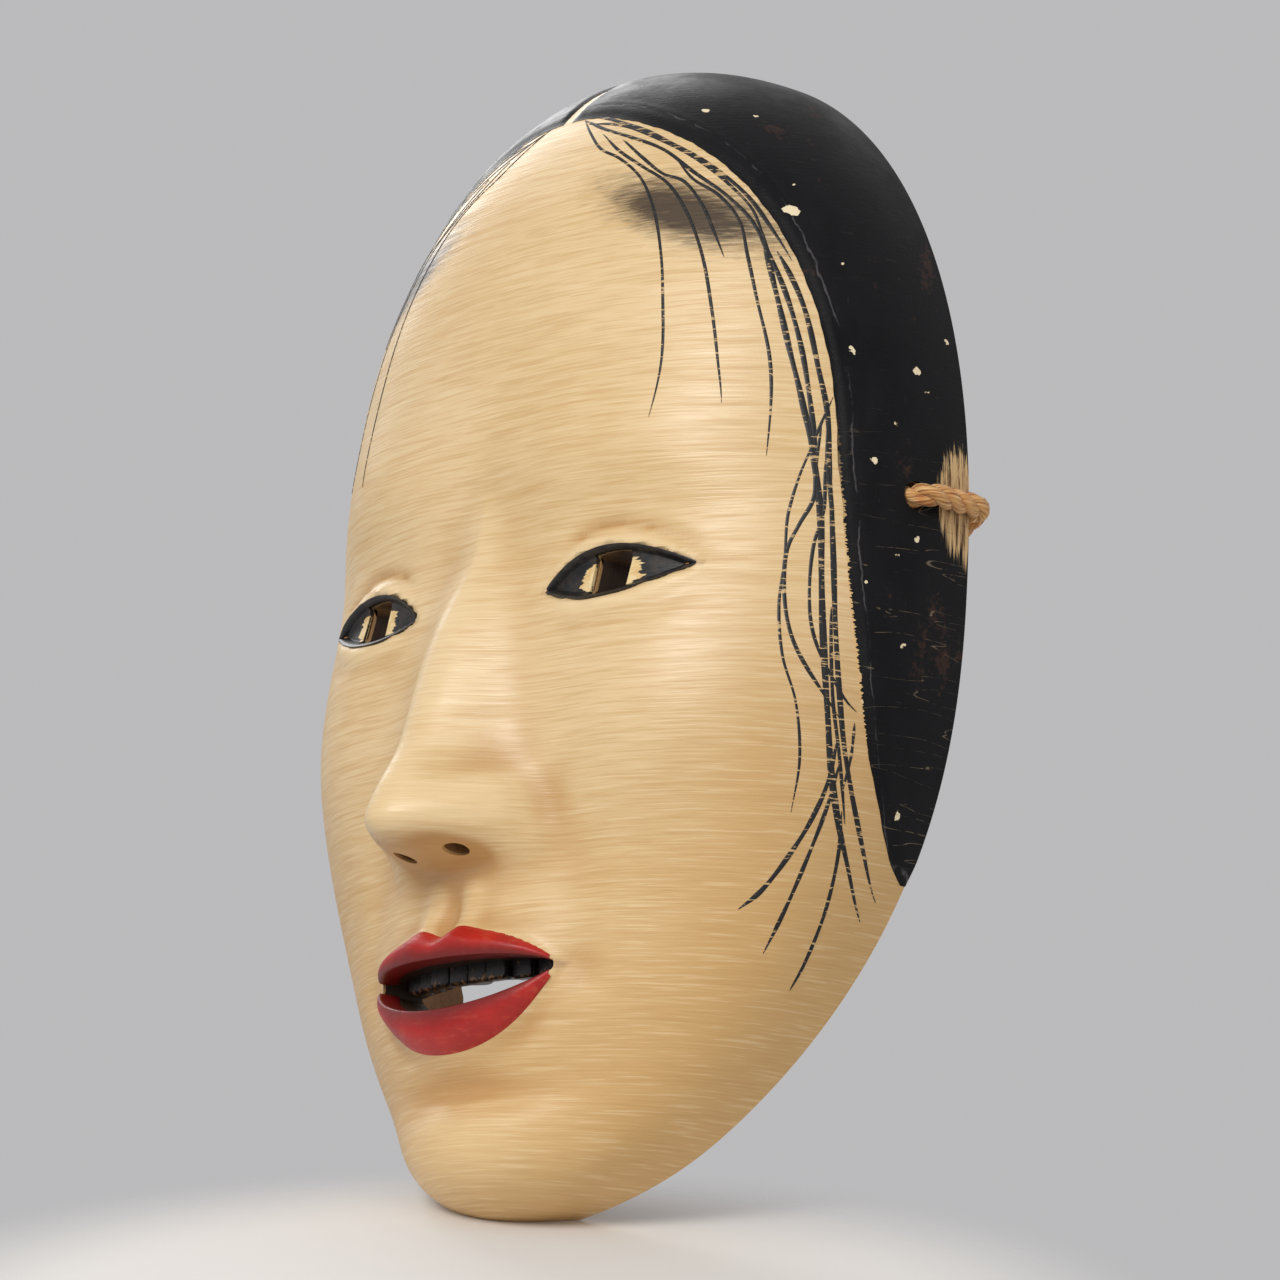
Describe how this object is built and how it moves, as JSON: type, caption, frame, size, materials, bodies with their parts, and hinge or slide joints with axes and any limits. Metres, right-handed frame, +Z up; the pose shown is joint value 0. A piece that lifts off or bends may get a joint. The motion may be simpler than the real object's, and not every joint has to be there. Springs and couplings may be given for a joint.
{
  "type": "noh mask",
  "caption": "Carved wooden noh mask with a hollow back, painted face and hair coats, pierced eyes, nostrils and mouth, and a twisted hanging cord through its temples.",
  "frame": {"origin": "on the symmetry plane, in the plane of the back rim, halfway up the mask", "axes": "+Z up the face, +Y out of the back towards the wearer, the face looks along -Y"},
  "size_m": [0.1468, 0.077, 0.2125],
  "materials": {
    "wood": "carved, oiled and darkened with age",
    "flesh_coat": "brushed chalk and glue coat, satin",
    "hair_black": "satin black paint, worn and chipped",
    "lip_red": "vermilion paint, satin gloss",
    "eye_black": "black ink, satin gloss",
    "eye_white": "brushed cream paint, satin",
    "tooth_black": "blackened, worn to tan on the edges",
    "hemp": "twisted natural fibre, matte"
  },
  "bodies": {
    "root": {"wood_core": "wood", "ground_coat": "flesh_coat", "hair_left": "hair_black", "hair_right": "hair_black", "upper_lip": "lip_red", "lower_lip": "lip_red", "eye_left": "eye_black", "eye_right": "eye_black", "teeth": "tooth_black", "cord": "hemp", "knot_left": "hemp", "knot_right": "hemp"}
  },
  "joints": []
}
